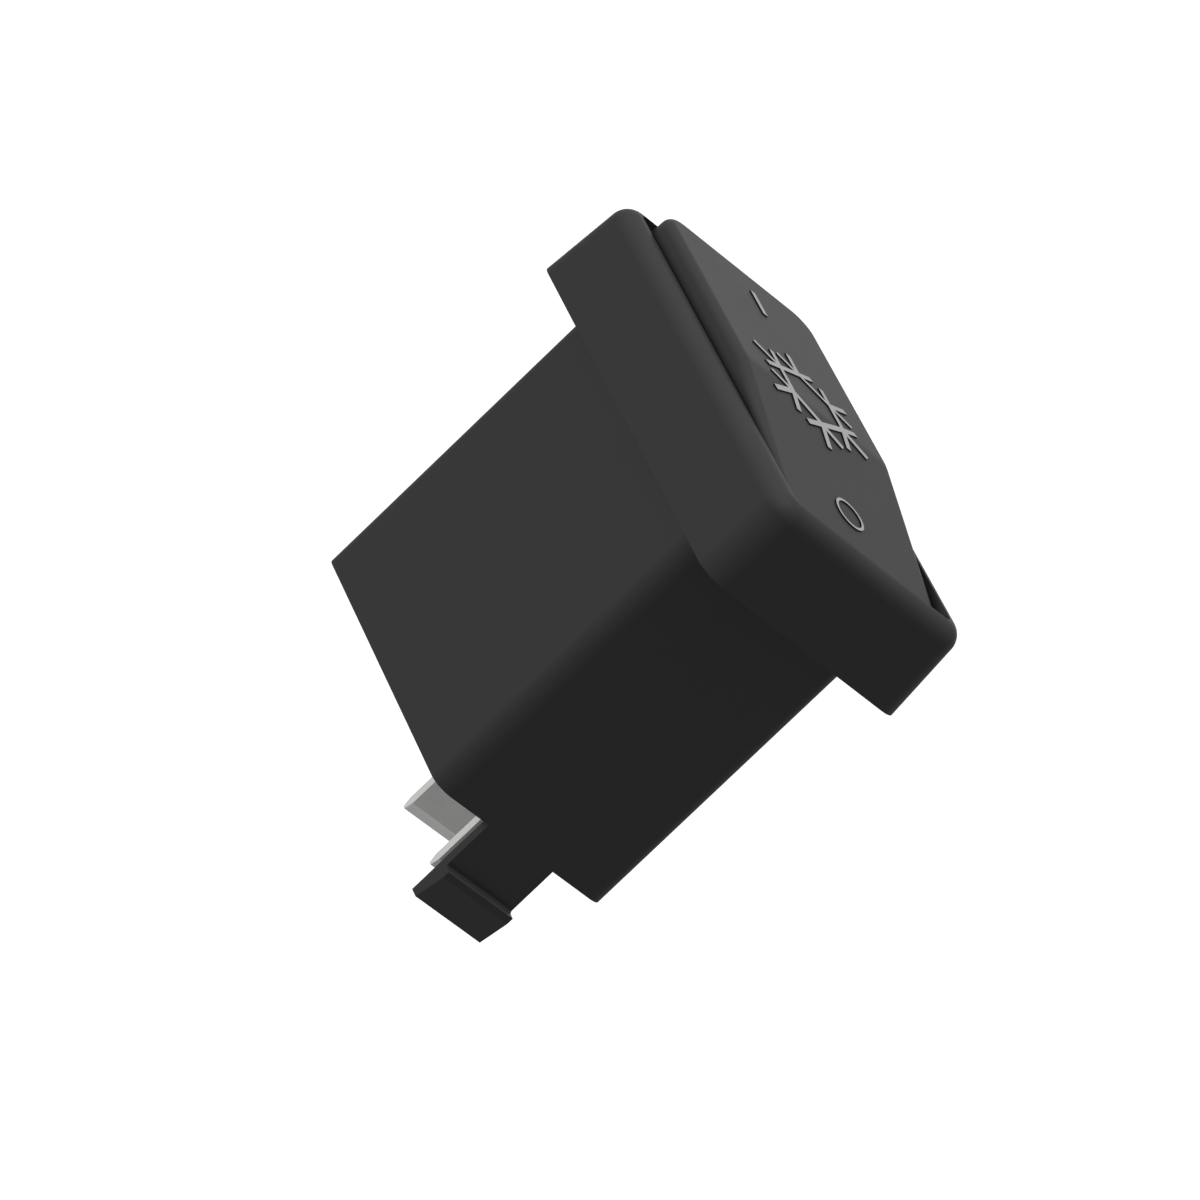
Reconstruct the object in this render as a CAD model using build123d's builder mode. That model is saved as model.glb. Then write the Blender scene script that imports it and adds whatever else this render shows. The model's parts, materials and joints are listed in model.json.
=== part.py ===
# Panel rocker switch, on and off, with two blade terminals and a latch tab for its connector.
# The origin is the centre of the bezel's rear seating face, which lies on the panel.
# +Z points out of the panel, +Y towards the end marked I, and X runs across the switch.
# The switch is at rest with its O end pressed, so the I end of the rocker stands up.
import os
from math import cos, radians, sin, sqrt, tan

from build123d import *

os.makedirs("parts", exist_ok=True)

# Rocker: travel, pivot and cap
rocker_swing = 7.79
pivot_height = 2.5
cap_width = 19.4
cap_length = 43.9
cap_wall = 1.25
cap_corner_radius = 2.7
cap_edge_radius = 0.86
face_height = 11.02
ridge_place = -1.08
ridge_blend_radius = 8.0
skirt_level = 2.6

# Bezel: the drafted frame round the rocker
bezel_width = 24.52
bezel_length = 49.0
bezel_height = 9.08
bezel_corner_radius = 2.4
bezel_draft = 3.13
bezel_edge_radius = 1.8
bezel_floor = 2.2
cap_side_gap = 0.26
cap_end_gap = 0.55
opening_corner_radius = 1.0

# Body behind the panel
body_width = 20.98
body_length = 35.1
body_depth = 30.06
body_corner_radius = 1.77
body_wall = 1.4
base_pocket = 0.3

# Latch tab of the connector, one with the body's wall
tab_width = 8.1
tab_thickness = 0.9
tab_length = 8.67
catch_reach = 5.04
catch_height = 0.9
catch_land = 0.65
catch_tip_height = 0.17
catch_root_radius = 0.3

# Blade terminals
blade_width = 6.3
blade_thickness = 0.81
blade_projection = 6.62
blade_bevel_length = 0.9
blade_bevel_depth = 0.24
common_blade_place = -6.4
load_blade_place = -14.6
terminal_bend_radius = 0.4

# Base that carries the terminals and the pivot
base_thickness = 4.0
cheek_thickness = 1.6
cheek_length = 8.0
pin_radius = 1.25
cheek_crown = 2.6

# Carrier, plunger and spring
deck_length = 30.0
deck_bottom = 4.4
carrier_width = 12.2
barrel_radius = 4.0
barrel_length = 12.5
bore_radius = 2.6
bore_depth = 9.9
plunger_tip_radius = 1.5
plunger_reach = 17.0
plunger_shoulder = 5.5
plunger_cup_radius = 1.95
plunger_cup_depth = 4.0
spring_radius = 1.5
spring_wire = 0.42
spring_turns = 6
wire_sides = 8
lip_depth = 0.6
lip_length = 5.0
lip_height = 1.2
lip_place = 9.0

# Contact arm and contacts
arm_tilt = 8.0
arm_thickness = 0.8
arm_width = 6.2
contact_reach = 9.7
arm_margin = 1.9
stop_reach = 8.2
saddle_width = 4.9
horn_height = 1.6
saddle_slope = 20.0
contact_radius = 1.6
contact_height = 0.6
contact_crown_radius = 4.0
shank_radius = 0.8
rivet_head_radius = 1.2
rivet_head_height = 0.3

# Clearances
running_clearance = 0.05
seat_clearance = 0.05
side_clearance = 0.15
slot_clearance = 0.05
plunger_gap = 0.3

# Worked-out places
half_swing = radians(rocker_swing / 2)
opening_width = cap_width + 2 * cap_side_gap
opening_length = cap_length + 2 * cap_end_gap
cavity_width = body_width - 2 * body_wall
cavity_length = body_length - 2 * body_wall
cavity_radius = body_corner_radius - body_wall
pocket_width = cavity_width + 2 * base_pocket
pocket_length = cavity_length + 2 * base_pocket
pocket_radius = cavity_radius + base_pocket
base_floor = base_thickness - body_depth
blade_tip = -body_depth - blade_projection
face_reach = face_height - pivot_height
ridge_level = (face_reach - ridge_place * sin(half_swing)) / cos(half_swing)
cheek_gap = carrier_width / 2 + side_clearance
pin_length = 2 * (cheek_gap + cheek_thickness)


def face_level(place):
    """Height of the rocker's face above the pivot at a place along the cap."""
    return ridge_level - abs(place - ridge_place) * tan(half_swing)


def inner_level(place, depth):
    """Height of a surface that runs parallel to the rocker's face, a depth below it."""
    return face_level(place) - depth / cos(half_swing)


# The rocker's own frame, tilted about the pivot: its level plane and its side plane
rocker_level = Plane(
    origin=(0, 0, pivot_height),
    x_dir=(1, 0, 0),
    z_dir=(0, -sin(half_swing), cos(half_swing)),
)
rocker_side = Plane(
    origin=rocker_level.origin,
    x_dir=rocker_level.y_dir,
    z_dir=rocker_level.x_dir,
)
rocker_axis = Axis(rocker_level.origin, rocker_level.z_dir)

# The contact arm's frame: it leans the other way, about the edge of the saddle
arm_angle = radians(arm_tilt)
tip_centre_reach = plunger_reach - plunger_tip_radius
tip_centre_y = tip_centre_reach * sin(half_swing)
tip_centre_z = pivot_height - tip_centre_reach * cos(half_swing)
tip_standoff = plunger_tip_radius + plunger_gap + arm_thickness
arm_axis_height = tip_centre_z - (tip_standoff - tip_centre_y * sin(arm_angle)) / cos(arm_angle)
arm_level = Plane(
    origin=(0, 0, arm_axis_height),
    x_dir=(1, 0, 0),
    z_dir=(0, sin(arm_angle), cos(arm_angle)),
)
arm_side = Plane(
    origin=arm_level.origin,
    x_dir=arm_level.y_dir,
    z_dir=arm_level.x_dir,
)

# Where the crowned moving contact comes to rest when the arm is down
crown_offset = contact_crown_radius - contact_height
contact_place = -contact_reach * cos(arm_angle) - crown_offset * sin(arm_angle)
closed_level = (
    arm_axis_height
    - contact_reach * sin(arm_angle)
    + crown_offset * cos(arm_angle)
    - contact_crown_radius
)
load_plate_top = closed_level - seat_clearance - contact_height
stop_top = arm_axis_height - stop_reach * sin(arm_angle) - seat_clearance

# Housing: bezel, body shell and latch tab in one moulding
tab_outer = -body_length / 2
tab_inner = tab_outer + tab_thickness
tab_root = -body_depth + base_pocket
catch_level = -body_depth - catch_reach
tab_end = -body_depth - tab_length

with BuildPart() as housing:
    with BuildSketch():
        Rectangle(bezel_width, bezel_length)
    extrude(amount=bezel_height, taper=bezel_draft)
    fillet(housing.edges() - housing.edges().filter_by(Plane.XY), bezel_corner_radius)
    fillet(housing.faces().sort_by(Axis.Z)[-1].edges(), bezel_edge_radius)
    with BuildSketch():
        RectangleRounded(body_width, body_length, body_corner_radius)
    extrude(amount=-body_depth)
    with BuildSketch(Plane.YZ):
        with BuildLine():
            Polyline(
                (tab_inner, tab_root),
                (tab_outer, tab_root),
                (tab_outer, catch_level),
                (tab_outer - catch_height, catch_level),
                (tab_outer - catch_height, catch_level - catch_land),
                (tab_outer - catch_tip_height, tab_end),
                (tab_inner, tab_end),
                close=True,
            )
        make_face()
    extrude(amount=tab_width / 2, both=True)
    catch_root = housing.edges().filter_by(Axis.X).filter_by_position(Axis.Z, catch_level, catch_level)
    fillet(catch_root.sort_by(Axis.Y)[-1], catch_root_radius)
    with BuildSketch(Plane.XY.offset(bezel_floor)):
        RectangleRounded(opening_width, opening_length, opening_corner_radius)
    extrude(amount=bezel_height, mode=Mode.SUBTRACT)
    with BuildSketch(Plane.XY.offset(base_floor)):
        RectangleRounded(cavity_width, cavity_length, cavity_radius)
    extrude(amount=bezel_floor - base_floor, mode=Mode.SUBTRACT)
    with BuildSketch(Plane.XY.offset(-body_depth)):
        RectangleRounded(pocket_width, pocket_length, pocket_radius)
    extrude(amount=base_thickness, mode=Mode.SUBTRACT)
housing.part.label = "housing"

# Base: floor with the terminal slots, two cheeks for the pivot, a contact bench and a stop
bench_front = contact_place + contact_radius + body_wall
bench_back = load_blade_place + blade_thickness
bench_width = blade_width + blade_thickness
stop_length = body_wall + seat_clearance

with BuildPart() as base:
    with BuildSketch(Plane.XY.offset(-body_depth)):
        RectangleRounded(
            pocket_width - 2 * seat_clearance,
            pocket_length - 2 * seat_clearance,
            pocket_radius,
        )
    extrude(amount=base_thickness)
    with BuildSketch(Plane.YZ.offset(cheek_gap)):
        with Locations((0, (pivot_height + base_floor) / 2)):
            Rectangle(cheek_length, pivot_height - base_floor)
        with Locations((0, pivot_height)):
            Circle(cheek_crown)
    extrude(amount=cheek_thickness)
    with BuildSketch(Plane.YZ.offset(cheek_gap)):
        with Locations((0, pivot_height)):
            Circle(pin_radius)
    extrude(amount=cheek_thickness, mode=Mode.SUBTRACT)
    mirror(about=Plane.YZ)
    with BuildSketch(Plane.XY.offset(base_floor)):
        with Locations((0, (bench_front + bench_back) / 2)):
            Rectangle(bench_width, bench_front - bench_back)
    extrude(amount=load_plate_top - blade_thickness - base_floor)
    with BuildSketch(Plane.XY.offset(base_floor)):
        with Locations((0, stop_reach - stop_length / 2)):
            Rectangle(arm_width, stop_length)
    extrude(amount=stop_top - base_floor)
    with BuildSketch(Plane.XY.offset(-body_depth)):
        with Locations((0, common_blade_place), (0, load_blade_place)):
            Rectangle(blade_width + 2 * slot_clearance, blade_thickness + 2 * slot_clearance)
    extrude(amount=base_thickness, mode=Mode.SUBTRACT)
base.part.label = "terminal_base"

# Pivot pin, pressed into both cheeks
with BuildPart() as pivot_pin:
    with BuildSketch(Plane.YZ.offset(-pin_length / 2)):
        with Locations((0, pivot_height)):
            Circle(pin_radius)
    extrude(amount=pin_length)
    chamfer(pivot_pin.edges().filter_by(GeomType.CIRCLE), blade_bevel_depth)
pivot_pin.part.label = "pivot_pin"

# Rocker cap: a shell with two flat faces that meet at the ridge
half_cap = cap_length / 2

with BuildPart() as cap:
    with BuildSketch(rocker_side):
        with BuildLine():
            Polyline(
                (-half_cap, skirt_level),
                (half_cap, skirt_level),
                (half_cap, face_level(half_cap)),
                (ridge_place, ridge_level),
                (-half_cap, face_level(-half_cap)),
                close=True,
            )
        make_face()
    extrude(amount=cap_width / 2, both=True)
    fillet(cap.edges().filter_by(rocker_axis), cap_corner_radius)
    offset(amount=-cap_wall, openings=cap.faces().sort_by(rocker_axis)[0])
    fillet(cap.edges().filter_by(Axis.X).sort_by(rocker_axis)[-1], ridge_blend_radius)
    face_edges = cap.faces().sort_by(rocker_axis)[-3:].edges()
    blend_lines = face_edges.filter_by(Axis.X).filter_by_position(Axis.Y, -half_cap / 2, half_cap / 2)
    fillet(face_edges - blend_lines, cap_edge_radius)
    lip_top = deck_bottom - seat_clearance
    lip_centre = cap_width / 2 - cap_wall - lip_depth / 2
    with BuildSketch(rocker_level.offset(lip_top - lip_height)):
        with GridLocations(2 * lip_centre, 2 * lip_place, 2, 2):
            Rectangle(lip_depth + seat_clearance, lip_length)
    extrude(amount=lip_height)
cap.part.label = "rocker_cap"

# Rocker carrier: deck under the cap, pivot block, and the barrel of the plunger
deck_width = cap_width - 2 * cap_wall - 2 * side_clearance
deck_depth = cap_wall + seat_clearance

with BuildPart() as carrier:
    with BuildSketch(rocker_side):
        with BuildLine():
            Polyline(
                (-deck_length / 2, deck_bottom),
                (deck_length / 2, deck_bottom),
                (deck_length / 2, inner_level(deck_length / 2, deck_depth)),
                (ridge_place, inner_level(ridge_place, deck_depth)),
                (-deck_length / 2, inner_level(-deck_length / 2, deck_depth)),
                close=True,
            )
        make_face()
    extrude(amount=deck_width / 2, both=True)
    with BuildSketch(rocker_side):
        with Locations((0, deck_bottom / 2)):
            Rectangle(2 * barrel_radius, deck_bottom)
        Circle(barrel_radius)
    extrude(amount=carrier_width / 2, both=True)
    with BuildSketch(rocker_level.offset(-barrel_length)):
        Circle(barrel_radius)
    extrude(amount=barrel_length)
    with BuildSketch(rocker_level.offset(-barrel_length)):
        Circle(bore_radius)
    extrude(amount=bore_depth, mode=Mode.SUBTRACT)
    with BuildSketch(rocker_side):
        Circle(pin_radius + running_clearance)
    extrude(amount=carrier_width / 2, both=True, mode=Mode.SUBTRACT)
carrier.part.label = "rocker_carrier"

# Plunger: a cup for the spring with a round nose
plunger_radius = bore_radius - running_clearance
nose_root = -plunger_reach + plunger_tip_radius
cone_top = nose_root + plunger_radius - plunger_tip_radius
cup_floor = -plunger_shoulder - plunger_cup_depth

with BuildPart() as plunger:
    with BuildSketch(rocker_side):
        with BuildLine():
            Polyline(
                (0, cup_floor),
                (plunger_cup_radius, cup_floor),
                (plunger_cup_radius, -plunger_shoulder),
                (plunger_radius, -plunger_shoulder),
                (plunger_radius, cone_top),
                (plunger_tip_radius, nose_root),
            )
            RadiusArc((plunger_tip_radius, nose_root), (0, -plunger_reach), plunger_tip_radius)
            Line((0, -plunger_reach), (0, cup_floor))
        make_face()
    revolve(axis=rocker_axis)
plunger.part.label = "plunger"

# Spring between the blind end of the barrel and the floor of the cup
spring_bottom = cup_floor + seat_clearance + spring_wire / 2
spring_top = bore_depth - barrel_length - seat_clearance - spring_wire / 2
spring_height = spring_top - spring_bottom

with BuildPart() as plunger_spring:
    with BuildLine(rocker_level.offset(spring_bottom)) as coil:
        Helix(spring_height / spring_turns, spring_height, spring_radius)
    with BuildSketch(Plane(origin=coil.line @ 0, z_dir=coil.line % 0)):
        RegularPolygon(spring_wire / 2, wire_sides)
    sweep(path=coil.line, is_frenet=True)
plunger_spring.part.label = "plunger_spring"

# Contact arm: a flat see-saw with notches for the horns of its saddle
horn_width = (blade_width - saddle_width) / 2
notch_depth = (arm_width - saddle_width) / 2 + side_clearance
notch_length = blade_thickness + 2 * arm_thickness * sin(arm_angle) + 2 * side_clearance
arm_back = -contact_reach - arm_margin

with BuildPart() as contact_arm:
    with BuildSketch(arm_level):
        with Locations((0, (stop_reach + arm_back) / 2)):
            RectangleRounded(arm_width, stop_reach - arm_back, arm_margin / 2)
        with GridLocations(arm_width - notch_depth, 0, 2, 1):
            Rectangle(notch_depth, notch_length, mode=Mode.SUBTRACT)
        with Locations((0, -contact_reach)):
            Circle(shank_radius, mode=Mode.SUBTRACT)
    extrude(amount=arm_thickness)
contact_arm.part.label = "contact_arm"

# Moving contact: crowned head under the arm, shank, and the closed head on top
moving_axis = Axis(arm_level.from_local_coords((0, -contact_reach, 0)), arm_level.z_dir)
crown_drop = contact_crown_radius - sqrt(contact_crown_radius**2 - contact_radius**2)

with BuildPart() as moving_contact:
    with BuildSketch(arm_side):
        with BuildLine():
            RadiusArc(
                (-contact_reach, -contact_height),
                (contact_radius - contact_reach, crown_drop - contact_height),
                -contact_crown_radius,
            )
            Polyline(
                (contact_radius - contact_reach, crown_drop - contact_height),
                (contact_radius - contact_reach, 0),
                (shank_radius - contact_reach, 0),
                (shank_radius - contact_reach, arm_thickness),
                (rivet_head_radius - contact_reach, arm_thickness),
                (shank_radius - contact_reach, arm_thickness + rivet_head_height),
                (-contact_reach, arm_thickness + rivet_head_height),
                (-contact_reach, -contact_height),
            )
        make_face()
    revolve(axis=moving_axis)
moving_contact.part.label = "moving_contact"


def bevel_blade_tip(terminal):
    """Bevels both wide faces of a terminal's blade at its tip."""
    tip_edges = terminal.faces().sort_by(Axis.Z)[0].edges().filter_by(Axis.X)
    tip_face = terminal.faces().sort_by(Axis.Z)[0]
    chamfer(tip_edges, blade_bevel_depth, blade_bevel_length, reference=tip_face)


# Common terminal: blade, foot on the base's floor, and the saddle with its two horns
saddle_peak = arm_axis_height - seat_clearance
saddle_edge = saddle_peak - blade_thickness / 2 * tan(radians(saddle_slope))
common_bend = common_blade_place - blade_thickness / 2

with BuildPart() as common_terminal:
    with BuildSketch(Plane.YZ):
        with BuildLine():
            Polyline(
                (common_bend, blade_tip),
                (common_bend + blade_thickness, blade_tip),
                (common_bend + blade_thickness, base_floor),
                (blade_thickness / 2, base_floor),
                (blade_thickness / 2, saddle_edge),
                (0, saddle_peak),
                (-blade_thickness / 2, saddle_edge),
                (-blade_thickness / 2, base_floor + blade_thickness),
                (common_bend, base_floor + blade_thickness),
                close=True,
            )
        make_face()
    extrude(amount=blade_width / 2, both=True)
    outer_bends = common_terminal.edges().filter_by(Axis.X).filter_by_position(
        Axis.Z, base_floor, base_floor + blade_thickness
    )
    fillet(outer_bends.sort_by(Axis.Y)[0], terminal_bend_radius + blade_thickness / 2)
    with BuildSketch(Plane.XY.offset(saddle_edge)):
        with GridLocations(blade_width - horn_width, 0, 2, 1):
            Rectangle(horn_width, blade_thickness)
    extrude(amount=arm_axis_height + horn_height - saddle_edge)
    bevel_blade_tip(common_terminal)
common_terminal.part.label = "common_terminal"

# Load terminal: blade, and a plate bent over the bench for the fixed contact
load_bend = load_blade_place - blade_thickness / 2

with BuildPart() as load_terminal:
    with BuildSketch(Plane.YZ):
        with BuildLine():
            Polyline(
                (load_bend, blade_tip),
                (load_bend + blade_thickness, blade_tip),
                (load_bend + blade_thickness, load_plate_top - blade_thickness),
                (bench_front, load_plate_top - blade_thickness),
                (bench_front, load_plate_top),
                (load_bend, load_plate_top),
                close=True,
            )
        make_face()
    extrude(amount=blade_width / 2, both=True)
    fillet(
        load_terminal.edges().filter_by(Axis.X).group_by(Axis.Z)[-1].sort_by(Axis.Y)[0],
        terminal_bend_radius + blade_thickness / 2,
    )
    with BuildSketch(Plane.XY.offset(load_plate_top)):
        with Locations((0, contact_place)):
            Circle(shank_radius)
    extrude(amount=-blade_thickness, mode=Mode.SUBTRACT)
    bevel_blade_tip(load_terminal)
load_terminal.part.label = "load_terminal"

# Fixed contact: a flat head riveted through the plate
with BuildPart() as fixed_contact:
    with BuildSketch(Plane.XY.offset(load_plate_top - blade_thickness)):
        with Locations((0, contact_place)):
            Circle(shank_radius)
    extrude(amount=blade_thickness)
    with BuildSketch(Plane.XY.offset(load_plate_top)):
        with Locations((0, contact_place)):
            Circle(contact_radius)
    extrude(amount=contact_height)
fixed_contact.part.label = "fixed_contact"

pieces = (
    housing,
    base,
    pivot_pin,
    cap,
    carrier,
    plunger,
    plunger_spring,
    contact_arm,
    moving_contact,
    common_terminal,
    load_terminal,
    fixed_contact,
)
for piece in pieces:
    export_step(piece.part, f"parts/{piece.part.label}.step")
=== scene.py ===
"""Looks of a panel rocker switch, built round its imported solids.

The solids keep their shape and place, and get their finishes here. The raised marks on the rocker are
modelled here: I, O and a snowflake. Lengths are in metres in the frame of the solids, with +Z out of
the panel, +Y towards the end marked I, and the origin in the middle of the bezel's seating face.
"""

import json
import logging
import math
from dataclasses import dataclass
from enum import Enum
from typing import Any, Dict, List, Tuple, Union

import bmesh
import bpy
from mathutils import Matrix, Vector


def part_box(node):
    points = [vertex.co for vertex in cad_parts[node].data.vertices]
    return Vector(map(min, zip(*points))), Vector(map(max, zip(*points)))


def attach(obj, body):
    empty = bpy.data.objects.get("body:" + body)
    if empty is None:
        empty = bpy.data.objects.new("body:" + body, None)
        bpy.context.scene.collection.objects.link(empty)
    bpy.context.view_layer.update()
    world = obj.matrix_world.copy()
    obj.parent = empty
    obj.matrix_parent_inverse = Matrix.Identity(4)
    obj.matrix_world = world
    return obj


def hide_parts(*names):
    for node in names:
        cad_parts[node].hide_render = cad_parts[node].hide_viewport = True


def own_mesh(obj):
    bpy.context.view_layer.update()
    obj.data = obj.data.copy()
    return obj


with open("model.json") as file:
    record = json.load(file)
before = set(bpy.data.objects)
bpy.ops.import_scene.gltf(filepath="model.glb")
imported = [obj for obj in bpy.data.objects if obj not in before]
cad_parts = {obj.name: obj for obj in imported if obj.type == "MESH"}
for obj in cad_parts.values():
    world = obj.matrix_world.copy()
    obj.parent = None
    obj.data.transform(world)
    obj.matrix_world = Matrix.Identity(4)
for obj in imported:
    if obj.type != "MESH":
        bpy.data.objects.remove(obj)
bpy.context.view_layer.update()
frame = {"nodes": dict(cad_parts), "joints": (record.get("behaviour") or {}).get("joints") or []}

MM = 0.001
# Numbers of a Mix node's sockets where it mixes colours
MIX_SHARE, MIX_DARK, MIX_LIGHT, MIX_RESULT = 0, 6, 7, 2
# Rays that look for walls nearby, per sample of the render, for the painted shade in crevices
SHADE_RAYS = 8
Triple = Tuple[float, float, float]
Colour = Triple
log = logging.getLogger("rocker_switch")


class Body(Enum):
    """The bodies that the added pieces ride on."""

    ROCKER = "rocker"


class Slot(Enum):
    """The record's material slots for the rocker's nylon and the spring's steel."""

    ROCKER = "rocker_nylon"
    SPRING = "spring_steel"


@dataclass(frozen=True)
class Wire:
    """A socket in a material, on which sums are written as Python expressions."""

    graph: "Graph"
    socket: bpy.types.NodeSocket

    def sum(self, operation: str, *terms: "Number") -> "Wire":
        """Adds a Math node.

        Args:
            operation: The Math node's operation.
            terms: Its inputs in order, as wires or plain numbers.

        Returns:
            The node's result.
        """
        return self.graph.node("ShaderNodeMath", {"operation": operation}, dict(enumerate(terms)))

    def __add__(self, other: "Number") -> "Wire":
        """Adds a wire or a number."""
        return self.sum("ADD", self, other)

    def __radd__(self, other: "Number") -> "Wire":
        """Adds this wire to a number."""
        return self.sum("ADD", other, self)

    def __sub__(self, other: "Number") -> "Wire":
        """Takes a wire or a number away."""
        return self.sum("SUBTRACT", self, other)

    def __mul__(self, other: "Number") -> "Wire":
        """Multiplies by a wire or a number."""
        return self.sum("MULTIPLY", self, other)

    def __rmul__(self, other: "Number") -> "Wire":
        """Multiplies a number by this wire."""
        return self.sum("MULTIPLY", other, self)

    def __pow__(self, other: "Number") -> "Wire":
        """Raises this wire to a power."""
        return self.sum("POWER", self, other)

    def sine(self) -> "Wire":
        """Takes the sine of this wire, in radians."""
        return self.sum("SINE", self)


Number = Union[Wire, float]


@dataclass
class Graph:
    """The node tree of one material."""

    tree: bpy.types.NodeTree

    def node(
        self,
        kind: str,
        settings: Dict[str, Any],
        inputs: Dict[Union[int, str], Any],
        output: Union[int, str] = 0,
    ) -> Wire:
        """Adds a node, sets it and joins its inputs.

        Args:
            kind: The node's type.
            settings: The node's own settings.
            inputs: Sockets by name or number, each with a wire or a plain value.
            output: The socket that is wanted.

        Returns:
            The wanted output.
        """
        made = self.tree.nodes.new(kind)
        for name, value in settings.items():
            setattr(made, name, value)
        for name, value in inputs.items():
            if isinstance(value, Wire):
                self.tree.links.new(value.socket, made.inputs[name])
            else:
                made.inputs[name].default_value = value
        return Wire(self, made.outputs[output])

    def place(self, stretch: Triple = (1.0, 1.0, 1.0), centre: Triple = (0.0, 0.0, 0.0)) -> Wire:
        """Gives the place on the piece, in metres, in the frame of the solids.

        Args:
            stretch: How much closer together a pattern lies along each axis; under 1 it is drawn out.
            centre: The point that becomes the pattern's origin.

        Returns:
            The place as a vector.
        """
        at = self.node("ShaderNodeTexCoord", {}, {}, "Object")
        shift = tuple(-c * s for c, s in zip(centre, stretch))
        return self.node("ShaderNodeMapping", {}, {"Vector": at, "Scale": stretch, "Location": shift})

    def noise(self, at: Wire, size: float, detail: float = 2.0) -> Wire:
        """Adds smooth noise.

        Args:
            at: The place.
            size: The width of one blotch, in metres.
            detail: How many finer layers it has.

        Returns:
            Values about 0.5.
        """
        pattern = {"Vector": at, "Scale": 1.0 / size, "Detail": detail}
        return self.node("ShaderNodeTexNoise", {}, pattern, "Fac")

    def unshaded(self, reach: float, steepness: float) -> Wire:
        """Gives the mask for painted shade: tells the open skin from crevices, where walls stand close
        by.

        Args:
            reach: How far off a wall still counts, in metres.
            steepness: The power that makes shallow crevices count more.

        Returns:
            1 where nothing is near, falling to 0 deep in a crevice.
        """
        rays = {"samples": SHADE_RAYS}
        free = self.node("ShaderNodeAmbientOcclusion", rays, {"Distance": reach}, "AO")
        return free**steepness

    def shade(self, share: Wire, dark: Colour, light: Union[Wire, Colour]) -> Wire:
        """Mixes two colours.

        Args:
            share: How much of the light colour there is, from 0 to 1.
            dark: The colour at 0.
            light: The colour at 1, fixed or already mixed.

        Returns:
            The mixed colour.
        """
        full = light if isinstance(light, Wire) else (*light, 1.0)
        colours = {MIX_SHARE: share, MIX_DARK: (*dark, 1.0), MIX_LIGHT: full}
        return self.node("ShaderNodeMix", {"data_type": "RGBA"}, colours, MIX_RESULT)

    def tones(self, share: Wire, colour: Colour, dark: float, light: float) -> Wire:
        """Varies a colour between a darker and a lighter tone.

        Args:
            share: How much of the lighter tone there is, from 0 to 1.
            colour: The colour.
            dark: The darker tone's factor.
            light: The lighter tone's factor.

        Returns:
            The varied colour.
        """
        return self.shade(share, tint(colour, dark), tint(colour, light))

    def bump(self, height: Wire, depth: float) -> Wire:
        """Turns a height into a normal.

        Args:
            height: The height, from 0 to 1.
            depth: What 1 stands for, in metres.

        Returns:
            The normal.
        """
        return self.node("ShaderNodeBump", {}, {"Height": height, "Distance": depth}, "Normal")


def tint(colour: Colour, factor: float) -> Colour:
    """Makes a colour lighter or darker.

    Args:
        colour: The colour.
        factor: How much lighter, or under 1, how much darker.

    Returns:
        The new colour, no lighter than white.
    """
    return tuple(min(1.0, c * factor) for c in colour)


@dataclass(frozen=True)
class Finish:
    """What every finish has: a name, and a way to become a material."""

    name: str

    def material(self) -> bpy.types.Material:
        """Makes the material, or gives the one made before.

        Returns:
            The material.
        """
        found = bpy.data.materials.get(self.name)
        if found:
            return found
        made = bpy.data.materials.new(self.name)
        made.use_nodes = True
        shader = made.node_tree.nodes["Principled BSDF"]
        for socket, value in self.paint(Graph(made.node_tree)).items():
            if isinstance(value, Wire):
                made.node_tree.links.new(value.socket, shader.inputs[socket])
            else:
                shader.inputs[socket].default_value = value
        return made

    def paint(self, graph: Graph) -> Dict[str, Any]:
        """Gives what the shader's sockets get.

        Args:
            graph: The material's nodes.

        Returns:
            A wire or a plain value for each socket, by the socket's name.
        """
        raise NotImplementedError


@dataclass(frozen=True)
class MouldedPlastic(Finish):
    """Moulded plastic with a spark-eroded texture, faint flow marks, uneven gloss and painted shade in
    its crevices.
    """

    colour: Colour = (0.04, 0.04, 0.042)
    roughness: float = 0.5
    specular: float = 0.5
    grain_size: float = 0.16 * MM
    grain_detail: float = 3.0
    grain_depth: float = 0.002 * MM
    fleck_size: float = 0.64 * MM
    flow_size: float = 7.0 * MM
    flow_stretch: Triple = (1.0, 1.0, 0.45)
    flow_share: float = 0.6
    colour_spread: float = 0.05
    gloss_spread: float = 0.05
    # Painted shade: the colour darkens where walls stand close by.
    shade_reach: float = 0.8 * MM
    shade_darkness: float = 0.1
    shade_steepness: float = 2.2

    def paint(self, graph: Graph) -> Dict[str, Any]:
        """Gives what the shader's sockets get."""
        at = graph.place()
        flow = graph.noise(graph.place(self.flow_stretch), self.flow_size)
        grain = graph.noise(at, self.grain_size, self.grain_detail)
        fleck = graph.noise(at, self.fleck_size)
        mottle = self.flow_share * flow + (1 - self.flow_share) * grain
        skin = graph.tones(mottle, self.colour, 1 - self.colour_spread, 1 + self.colour_spread)
        # Painted shade in crevices, mixed into the base colour.
        unshaded = graph.unshaded(self.shade_reach, self.shade_steepness)
        painted_shade = tint(self.colour, self.shade_darkness)
        return {
            "Base Color": graph.shade(unshaded, painted_shade, skin),
            "Roughness": self.roughness + (flow + fleck - 1.0) * self.gloss_spread,
            "Specular IOR Level": self.specular,
            "Normal": graph.bump(grain, self.grain_depth),
        }


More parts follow.
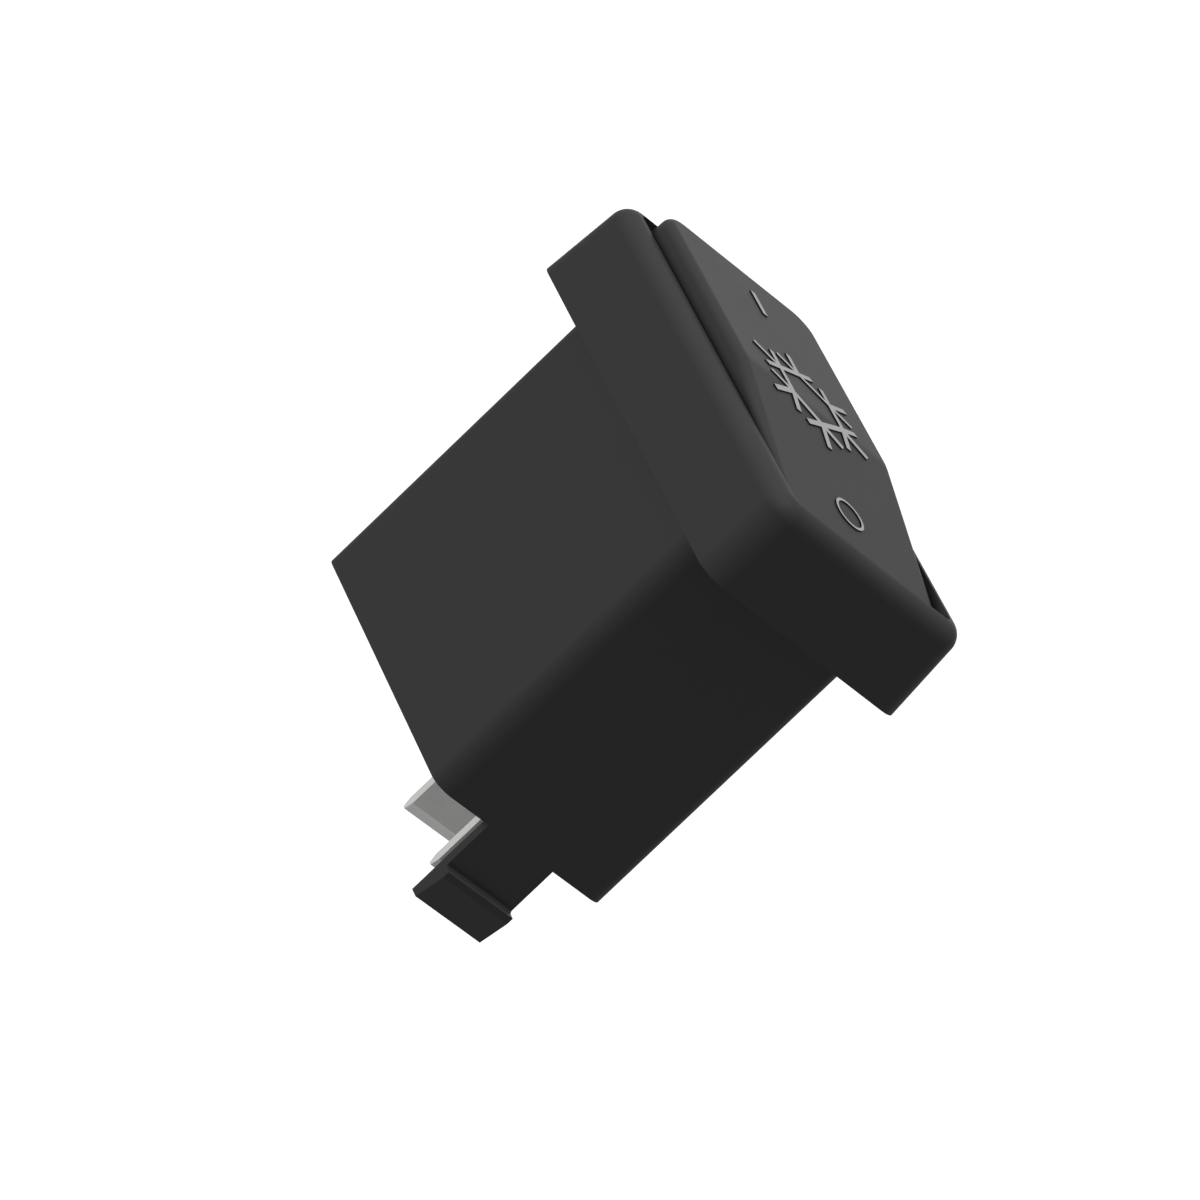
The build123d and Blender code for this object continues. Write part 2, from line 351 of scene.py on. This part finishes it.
@dataclass(frozen=True)
class PlatedStrip(Finish):
    """Stamped strip with a bright plated skin: rolled lines along it, soft plating clouds and painted
    shade in its crevices.
    """

    colour: Colour = (0.87, 0.87, 0.86)
    metallic: float = 0.1
    roughness: float = 0.42
    line_size: float = 0.12 * MM
    line_stretch: Triple = (1.0, 1.0, 0.03)
    line_depth: float = 0.0015 * MM
    line_gloss: float = 0.08
    line_share: float = 0.3
    cloud_size: float = 1.6 * MM
    cloud_gloss: float = 0.2
    dark: float = 0.94
    light: float = 1.05
    # Painted shade: the colour darkens where walls stand close by.
    shade_reach: float = 1.5 * MM
    shade_darkness: float = 0.5
    shade_steepness: float = 1.0

    def paint(self, graph: Graph) -> Dict[str, Any]:
        """Gives what the shader's sockets get."""
        lines = graph.noise(graph.place(self.line_stretch), self.line_size, 1.0)
        clouds = graph.noise(graph.place(), self.cloud_size)
        mottle = self.line_share * lines + (1 - self.line_share) * clouds
        skin = graph.tones(mottle, self.colour, self.dark, self.light)
        # Painted shade in crevices, mixed into the base colour.
        unshaded = graph.unshaded(self.shade_reach, self.shade_steepness)
        painted_shade = tint(self.colour, self.shade_darkness)
        cloud_gloss = (clouds - 0.5) * self.cloud_gloss
        line_gloss = (lines - 0.5) * self.line_gloss
        return {
            "Base Color": graph.shade(unshaded, painted_shade, skin),
            "Metallic": self.metallic,
            "Roughness": self.roughness + cloud_gloss + line_gloss,
            "Normal": graph.bump(lines, self.line_depth),
        }


@dataclass(frozen=True)
class TurnedRivet(Finish):
    """Silver rivet, upset and pressed, with faint rings about its axis."""

    colour: Colour = (0.83, 0.82, 0.79)
    centre: Triple = (0.0, 0.0, 0.0)
    ring_pitch: float = 0.09 * MM
    ring_depth: float = 0.0015 * MM
    roughness: float = 0.3
    tarnish_size: float = 0.5 * MM
    tarnish_gloss: float = 0.2
    dark: float = 0.82
    light: float = 1.04

    def paint(self, graph: Graph) -> Dict[str, Any]:
        """Gives what the shader's sockets get."""
        flat = graph.place((1.0, 1.0, 0.0), self.centre)
        reach = graph.node("ShaderNodeVectorMath", {"operation": "LENGTH"}, {0: flat}, "Value")
        rings = 0.5 + 0.5 * (reach * (math.tau / self.ring_pitch)).sine()
        tarnish = graph.noise(graph.place(), self.tarnish_size)
        return {
            "Base Color": graph.tones(tarnish, self.colour, self.dark, self.light),
            "Metallic": 1.0,
            "Roughness": self.roughness + (tarnish - 0.5) * self.tarnish_gloss,
            "Normal": graph.bump(rings, self.ring_depth),
        }


@dataclass(frozen=True)
class DrawnSteel(Finish):
    """Drawn or ground steel with fine marks and a thin film of oil."""

    colour: Colour = (0.56, 0.56, 0.57)
    roughness: float = 0.28
    mark_size: float = 0.06 * MM
    mark_stretch: Triple = (0.05, 1.0, 1.0)
    mark_depth: float = 0.001 * MM
    mark_gloss: float = 0.1
    film_size: float = 1.1 * MM
    film_gloss: float = 0.16
    dark: float = 0.85
    light: float = 1.1

    def paint(self, graph: Graph) -> Dict[str, Any]:
        """Gives what the shader's sockets get."""
        marks = graph.noise(graph.place(self.mark_stretch), self.mark_size, 1.0)
        film = graph.noise(graph.place(), self.film_size)
        film_gloss = (film - 0.5) * self.film_gloss
        mark_gloss = (marks - 0.5) * self.mark_gloss
        return {
            "Base Color": graph.tones(film, self.colour, self.dark, self.light),
            "Metallic": 1.0,
            "Roughness": self.roughness + film_gloss + mark_gloss,
            "Normal": graph.bump(marks, self.mark_depth),
        }


@dataclass(frozen=True)
class PrintedInk(Finish):
    """Pad-printed ink on a raised mark, with a slightly uneven film."""

    colour: Colour = (0.36, 0.36, 0.36)
    roughness: float = 0.55
    film_size: float = 0.3 * MM
    film_share: float = 0.7
    film_gloss: float = 0.1
    speck_size: float = 0.05 * MM
    speck_depth: float = 0.002 * MM
    dark: float = 0.95
    light: float = 1.05

    def paint(self, graph: Graph) -> Dict[str, Any]:
        """Gives what the shader's sockets get."""
        film = graph.noise(graph.place(), self.film_size)
        specks = graph.noise(graph.place(), self.speck_size, 1.0)
        mottle = self.film_share * film + (1 - self.film_share) * specks
        return {
            "Base Color": graph.tones(mottle, self.colour, self.dark, self.light),
            "Roughness": self.roughness + (film - 0.5) * self.film_gloss,
            "Normal": graph.bump(specks, self.speck_depth),
        }


@dataclass(frozen=True)
class Paper(Finish):
    """Seamless white paper for the floor."""

    colour: Colour = (0.97, 0.97, 0.97)

    def paint(self, graph: Graph) -> Dict[str, Any]:
        """Gives what the shader's sockets get."""
        return {"Base Color": (*self.colour, 1.0), "Roughness": 1.0, "Specular IOR Level": 0.0}


NYLON_BLACK: Colour = (0.041, 0.041, 0.042)
HOUSING_BLACK = MouldedPlastic("housing_black", colour=NYLON_BLACK, roughness=0.3)
ROCKER_BLACK = MouldedPlastic("rocker_black", colour=NYLON_BLACK, roughness=0.3)
# Painted shade: a near-black copy of the rocker's plastic for the sides of the raised marks.
MARK_SIDE_SHADE = MouldedPlastic("mark_side_shade", colour=(0.006, 0.006, 0.006), roughness=0.7, specular=0.2)
BASE_BLACK = MouldedPlastic("base_black", colour=(0.03, 0.03, 0.031), roughness=0.55)
ACETAL_WHITE = MouldedPlastic(
    "acetal_white", colour=(0.70, 0.69, 0.66), roughness=0.42, colour_spread=0.03
)
TIN = PlatedStrip("tin_plate")
COPPER = PlatedStrip("copper_plate", colour=(0.78, 0.56, 0.44), metallic=0.9, roughness=0.3)
STEEL = DrawnSteel("drawn_steel")
INK = PrintedInk("mark_ink")


def dress(node: str, finish: Finish) -> None:
    """Gives a solid its finish.

    Args:
        node: The solid's name.
        finish: What it is finished in.
    """
    solid = frame["nodes"][node]
    for slot in solid.material_slots:
        slot.material = finish.material()
    log.info("%s dressed in %s", node, finish.name)


def object_from(name: str, made: bmesh.types.BMesh) -> bpy.types.Object:
    """Makes an object of a bmesh and frees the bmesh.

    Args:
        name: The object's name.
        made: The shape.

    Returns:
        The object, linked to the scene.
    """
    mesh = bpy.data.meshes.new(name)
    bmesh.ops.recalc_face_normals(made, faces=made.faces)
    made.to_mesh(mesh)
    made.free()
    piece = bpy.data.objects.new(name, mesh)
    bpy.context.scene.collection.objects.link(piece)
    return piece


@dataclass
class Housing:
    """The moulded housing and the base that closes it."""

    shell: Finish = HOUSING_BLACK
    base: Finish = BASE_BLACK

    def dress(self) -> None:
        """Finishes the housing and its base."""
        dress("housing", self.shell)
        dress("terminal_base", self.base)


@dataclass
class Terminals:
    """Both blades, and the contact that sits on one of them, with its axis at contact_place along Y."""

    strip: Finish = TIN
    contact_place: float = -10.079 * MM

    def dress(self) -> None:
        """Finishes the blades and the fixed contact."""
        dress("common_terminal", self.strip)
        dress("load_terminal", self.strip)
        dress("fixed_contact", TurnedRivet("fixed_silver", centre=(0.0, self.contact_place, 0.0)))


def joint(name: str) -> Dict[str, Any]:
    """Finds a joint of the frame.

    Args:
        name: The joint's name.

    Returns:
        The joint's row.
    """
    return next(found for found in frame["joints"] if found["name"] == name)


@dataclass
class CoilSpring:
    """The plunger's spring, wound of round wire, with a closed turn at either end.

    Its foot lies a drop below the rocker's pivot, along the plunger's axis. Its height runs from the
    middle of the lowest wire to the middle of the top one.
    """

    wire: float = 0.42 * MM
    radius: float = 1.5 * MM
    drop: float = 9.24 * MM
    height: float = 6.38 * MM
    turns: int = 4
    turn_steps: int = 36
    wire_sides: int = 12

    def wind(self, foot: Vector, along: Vector) -> bmesh.types.BMesh:
        """Winds the wire up from its foot.

        Args:
            foot: Where the lowest turn's middle lies on the spring's axis.
            along: The direction of that axis.

        Returns:
            The spring, with both ends of the wire closed.
        """
        made = bmesh.new()
        across = Vector((1.0, 0.0, 0.0))
        turn = Matrix((across, along, across.cross(along))).transposed().to_4x4()
        section = Matrix.Translation(foot + across * self.radius) @ turn
        bmesh.ops.create_circle(
            made, cap_ends=False, segments=self.wire_sides, radius=self.wire / 2, matrix=section
        )
        ring = made.verts[:] + made.edges[:]
        open_pitch = (self.height - 2 * self.wire) / self.turns
        for pitch in (self.wire, *(open_pitch for _ in range(self.turns)), self.wire):
            wound = bmesh.ops.spin(
                made,
                geom=ring,
                cent=foot,
                axis=along,
                dvec=along * (pitch / self.turn_steps),
                angle=math.tau,
                steps=self.turn_steps,
            )
            ring = wound["geom_last"]
        for side in made.faces:
            side.smooth = True
        ends = [edge for edge in made.edges if edge.is_boundary]
        bmesh.ops.holes_fill(made, edges=ends, sides=self.wire_sides)
        return made

    def build(self) -> None:
        """Builds the spring, riding on the rocker, in place of the solid one."""
        slide = joint("plunger_slide")
        along = Vector(slide["axis"]).normalized()
        pivot = Vector(joint("rocker_tilt")["pos_m"])
        piece = object_from("coil_spring", self.wind(pivot - along * self.drop, along))
        piece.data.materials.append(STEEL.material())
        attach(piece, Body.ROCKER.value)
        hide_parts("plunger_spring")
        keep = 1 - slide["range_m"][1] / (self.height + self.wire)
        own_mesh(piece)
        log.info("coil_spring has %d faces", len(piece.data.polygons))


@dataclass
class Mechanism:
    """What turns and slides inside: carrier, plunger, spring, pin and contact arm."""

    contact_place: float = -9.7 * MM

    def dress(self) -> None:
        """Finishes the inner pieces."""
        dress("rocker_carrier", ACETAL_WHITE)
        dress("plunger", ACETAL_WHITE)
        dress("plunger_spring", STEEL)
        CoilSpring().build()
        dress("pivot_pin", STEEL)
        dress("contact_arm", COPPER)
        dress("moving_contact", TurnedRivet("moving_silver", centre=(0.0, self.contact_place, 0.0)))


@dataclass
class RockerFace:
    """The rocker's face at rest: level on its I side, rounded over the ridge, falling on its O side."""

    top: float
    fall: float
    ridge: float = -1.663 * MM
    blend_radius: float = 8.0 * MM
    blend_cuts: int = 8

    @property
    def blend_start(self) -> float:
        """Where the level side goes over into the round."""
        return self.ridge + self.blend_radius * math.tan(self.fall / 2)

    @property
    def blend_length(self) -> float:
        """Length of the round, along the face."""
        return self.blend_radius * self.fall

    def lay(self, flat: Vector) -> Vector:
        """Lays a point of a flat drawing on the face.

        Args:
            flat: The point across the face, along it, and its height over it.

        Returns:
            The point in the frame.
        """
        past = self.blend_start - flat.y
        turn = min(max(past / self.blend_radius, 0.0), self.fall)
        straight = past - turn * self.blend_radius
        y = self.blend_start - self.blend_radius * math.sin(turn) - straight * math.cos(turn)
        z = self.top - self.blend_radius * (1 - math.cos(turn)) - max(straight, 0.0) * math.sin(turn)
        return Vector((flat.x, y - flat.z * math.sin(turn), z + flat.z * math.cos(turn)))

    def bend(self, made: bmesh.types.BMesh) -> None:
        """Lays a flat shape on the face, cut across where the face is round.

        Args:
            made: The shape, drawn flat with its foot at height 0.
        """
        for step in range(self.blend_cuts + 1):
            cut = self.blend_start - self.blend_length * step / self.blend_cuts
            geometry = made.verts[:] + made.edges[:] + made.faces[:]
            bmesh.ops.bisect_plane(made, geom=geometry, plane_co=(0, cut, 0), plane_no=(0, 1, 0))
        for vertex in made.verts:
            vertex.co = self.lay(vertex.co)


@dataclass
class Mark:
    """A raised mark: what all of them share. Sides that look up by more than inked_from are inked; the
    others get painted shade, a darker copy of the rocker's black plastic.
    """

    face: RockerFace
    proud: float = 0.11 * MM
    sunk: float = 0.01 * MM
    inked_from: float = 0.5

    def bar(self, length: float, width: float, middle: Vector, angle: float) -> bmesh.types.BMesh:
        """Draws a straight bar, flat.

        Args:
            length: Its length.
            width: Its width.
            middle: Its middle on the drawing.
            angle: Its direction, from across the face.

        Returns:
            The bar.
        """
        made = bmesh.new()
        size = Matrix.Diagonal((length, width, self.proud + self.sunk, 1.0))
        up = Matrix.Translation((0, 0, (self.proud - self.sunk) / 2))
        turn = Matrix.Rotation(angle, 4, "Z")
        bmesh.ops.create_cube(made, size=1.0, matrix=Matrix.Translation(middle) @ turn @ up @ size)
        return made

    def finish(self, name: str, made: bmesh.types.BMesh) -> bpy.types.Object:
        """Lays a flat drawing on the rocker and inks its top.

        Args:
            name: The piece's name.
            made: The drawing.

        Returns:
            The piece.
        """
        self.face.bend(made)
        bmesh.ops.recalc_face_normals(made, faces=made.faces)
        made.normal_update()
        for side in made.faces:
            side.material_index = int(side.normal.z > self.inked_from)
        piece = object_from(name, made)
        # The sides get painted shade, the tops get ink.
        piece.data.materials.append(MARK_SIDE_SHADE.material())
        piece.data.materials.append(INK.material())
        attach(piece, Body.ROCKER.value)
        log.info("%s has %d faces", name, len(piece.data.polygons))
        return piece


@dataclass
class OnMark(Mark):
    """The I at the end that switches on."""

    length: float = 3.75 * MM
    width: float = 0.6 * MM
    place: float = 15.0 * MM

    def build(self) -> None:
        """Builds the mark."""
        middle = Vector((0, self.place, 0))
        self.finish("mark_on", self.bar(self.length, self.width, middle, math.pi / 2))


@dataclass
class OffMark(Mark):
    """The O at the end that switches off."""

    radius: float = 1.71 * MM
    line: float = 0.29 * MM
    aside: float = -0.15 * MM
    place: float = -15.63 * MM
    segments: int = 72

    def build(self) -> None:
        """Builds the mark."""
        made = bmesh.new()
        foot = Matrix.Translation((self.aside, self.place, -self.sunk))
        for radius in (self.radius, self.radius - self.line):
            bmesh.ops.create_circle(
                made, cap_ends=False, segments=self.segments, radius=radius, matrix=foot
            )
        bmesh.ops.bridge_loops(made, edges=made.edges[:])
        raised = bmesh.ops.extrude_face_region(made, geom=made.faces[:])
        lifted = [item for item in raised["geom"] if isinstance(item, bmesh.types.BMVert)]
        bmesh.ops.translate(made, verts=lifted, vec=(0, 0, self.proud + self.sunk))
        self.finish("mark_off", made)


@dataclass
class SnowMark(Mark):
    """The snowflake: a hexagon whose sides run on past its corners, with a spoke from each corner."""

    corner_reach: float = 3.72 * MM
    side_overrun: float = 2.6 * MM
    spoke: float = 3.15 * MM
    width: float = 0.6 * MM
    corners: int = 6
    weld: float = 0.001 * MM

    def bars(self) -> List[bmesh.types.BMesh]:
        """Draws the bars of the snowflake.

        Returns:
            The bars, which cross one another.
        """
        made = []
        half_corner = math.pi / self.corners
        side = self.corner_reach + 2 * self.side_overrun
        side_reach = self.corner_reach * math.cos(half_corner)
        spoke_reach = self.corner_reach + self.spoke / 2
        for corner in range(self.corners):
            angle = 2 * corner * half_corner
            out = Vector((math.cos(angle), math.sin(angle), 0))
            made.append(self.bar(side, self.width, out * side_reach, angle + math.pi / 2))
            angle += half_corner
            out = Vector((math.cos(angle), math.sin(angle), 0))
            made.append(self.bar(self.spoke, self.width, out * spoke_reach, angle))
        return made

    def build(self) -> None:
        """Builds the mark from its bars, joined into one outline."""
        parts = [object_from(f"bar_{i}", bar) for i, bar in enumerate(self.bars())]
        whole = parts[0]
        for part in parts[1:]:
            join = whole.modifiers.new(part.name, "BOOLEAN")
            join.operation = "UNION"
            join.solver = "EXACT"
            join.object = part
        shape = whole.evaluated_get(bpy.context.evaluated_depsgraph_get()).to_mesh()
        made = bmesh.new()
        made.from_mesh(shape)
        for part in parts:
            bpy.data.objects.remove(part)
        bmesh.ops.remove_doubles(made, verts=made.verts, dist=self.weld)
        self.finish("mark_snowflake", made)


@dataclass
class Rocker:
    """The rocker's cap with its raised marks."""

    cap: Finish = ROCKER_BLACK

    def face(self) -> RockerFace:
        """Reads the face's height and fall from the frame.

        Returns:
            The face at rest.
        """
        swing = joint("rocker_tilt")["range_deg"]
        return RockerFace(top=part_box("rocker_cap")[1].z, fall=math.radians(swing[1] - swing[0]))

    def build(self) -> None:
        """Finishes the cap and builds its marks."""
        dress("rocker_cap", self.cap)
        face = self.face()
        OnMark(face).build()
        OffMark(face).build()
        SnowMark(face).build()


@dataclass(frozen=True)
class Lamp:
    """A broad light far away, which casts no shadow."""

    name: str
    towards: Triple
    strength: float
    spread_deg: float
    diffuse: bool = True
    glossy: bool = True

    def hang(self) -> None:
        """Hangs the light in its direction, turned to the switch."""
        light = bpy.data.lights.new(self.name, "SUN")
        light.energy = self.strength
        light.angle = math.radians(self.spread_deg)
        light.use_shadow = False
        hung = bpy.data.objects.new(self.name, light)
        hung.rotation_mode = "QUATERNION"
        hung.rotation_quaternion = Vector(self.towards).to_track_quat("Z", "Y")
        hung.visible_diffuse = self.diffuse
        hung.visible_glossy = self.glossy
        bpy.context.scene.collection.objects.link(hung)


KEY = Lamp("key", towards=(-0.48, 0.15, 0.86), strength=3.65, spread_deg=60, glossy=False)
RIM = Lamp("rim", towards=(0.58, 0.79, 0.0), strength=0.078, spread_deg=50, diffuse=False)
BOUNCE = Lamp("bounce", towards=(0.0, -0.02, -1.0), strength=1.9, spread_deg=20, glossy=False)
SIDE = Lamp("side", towards=(1.0, 0.1, 0.0), strength=0.8, spread_deg=40, glossy=False)


@dataclass
class Studio:
    """White paper, an even sky, a lamp from above, and faint ones from behind, below and the side."""

    paper: Finish = Paper("paper")
    floor_drop: float = 0.6
    floor_size: float = 12.0
    sky: float = 0.16
    lamps: Tuple[Lamp, ...] = (KEY, RIM, BOUNCE, SIDE)

    def build(self) -> None:
        """Builds the floor, the sky and the lamps."""
        self._floor()
        self._sky()
        for lamp in self.lamps:
            lamp.hang()

    def _floor(self) -> None:
        """Lays the paper."""
        made = bmesh.new()
        place = Matrix.Translation((0, 0, -self.floor_drop))
        bmesh.ops.create_grid(made, x_segments=1, y_segments=1, size=self.floor_size / 2, matrix=place)
        floor = object_from("floor", made)
        floor.data.materials.append(self.paper.material())
        floor.visible_diffuse = False
        floor.visible_glossy = False

    def _sky(self) -> None:
        """Lights everything evenly, and shows white behind the switch."""
        world = bpy.data.worlds.new("sky")
        world.use_nodes = True
        bpy.context.scene.world = world
        graph = Graph(world.node_tree)
        seen = graph.node("ShaderNodeLightPath", {}, {}, "Is Camera Ray")
        strength = self.sky + seen * (1.0 - self.sky)
        background = world.node_tree.nodes["Background"]
        background.inputs["Color"].default_value = (1.0, 1.0, 1.0, 1.0)
        world.node_tree.links.new(strength.socket, background.inputs["Strength"])


@dataclass
class Viewpoint:
    """The photograph's camera: a long lens from the O end's left, a little above, and rolled."""

    aim: Triple = (-0.010 * MM, 0.0, -13.826 * MM)
    azimuth: float = math.radians(36.246)
    elevation: float = math.radians(12.703)
    roll: float = math.radians(46.391)
    distance: float = 846.07 * MM
    lens: float = 302.95
    sensor: float = 36.0
    nearest: float = 10 * MM

    def build(self) -> None:
        """Places the camera."""
        data = bpy.data.cameras.new("camera")
        data.lens = self.lens
        data.sensor_width = self.sensor
        data.clip_start = self.nearest
        camera = bpy.data.objects.new("camera", data)
        level = math.cos(self.elevation)
        aside = -math.sin(self.azimuth) * level
        away = -math.cos(self.azimuth) * level
        back = Vector((aside, away, math.sin(self.elevation)))
        upright = back.to_track_quat("Z", "Y").to_matrix().to_4x4()
        turned = upright @ Matrix.Rotation(self.roll, 4, "Z")
        camera.matrix_world = Matrix.Translation(Vector(self.aim) + back * self.distance) @ turned
        bpy.context.scene.collection.objects.link(camera)
        bpy.context.scene.camera = camera


def main() -> None:
    """Builds the camera, the pieces and the studio in order."""
    logging.basicConfig(level=logging.INFO, format="%(name)s: %(message)s")
    bpy.context.scene.view_settings.view_transform = "Standard"
    Viewpoint().build()
    Housing().dress()
    Terminals().dress()
    Mechanism().dress()
    Rocker().build()
    Studio().build()


if __name__ == "__main__":
    main()
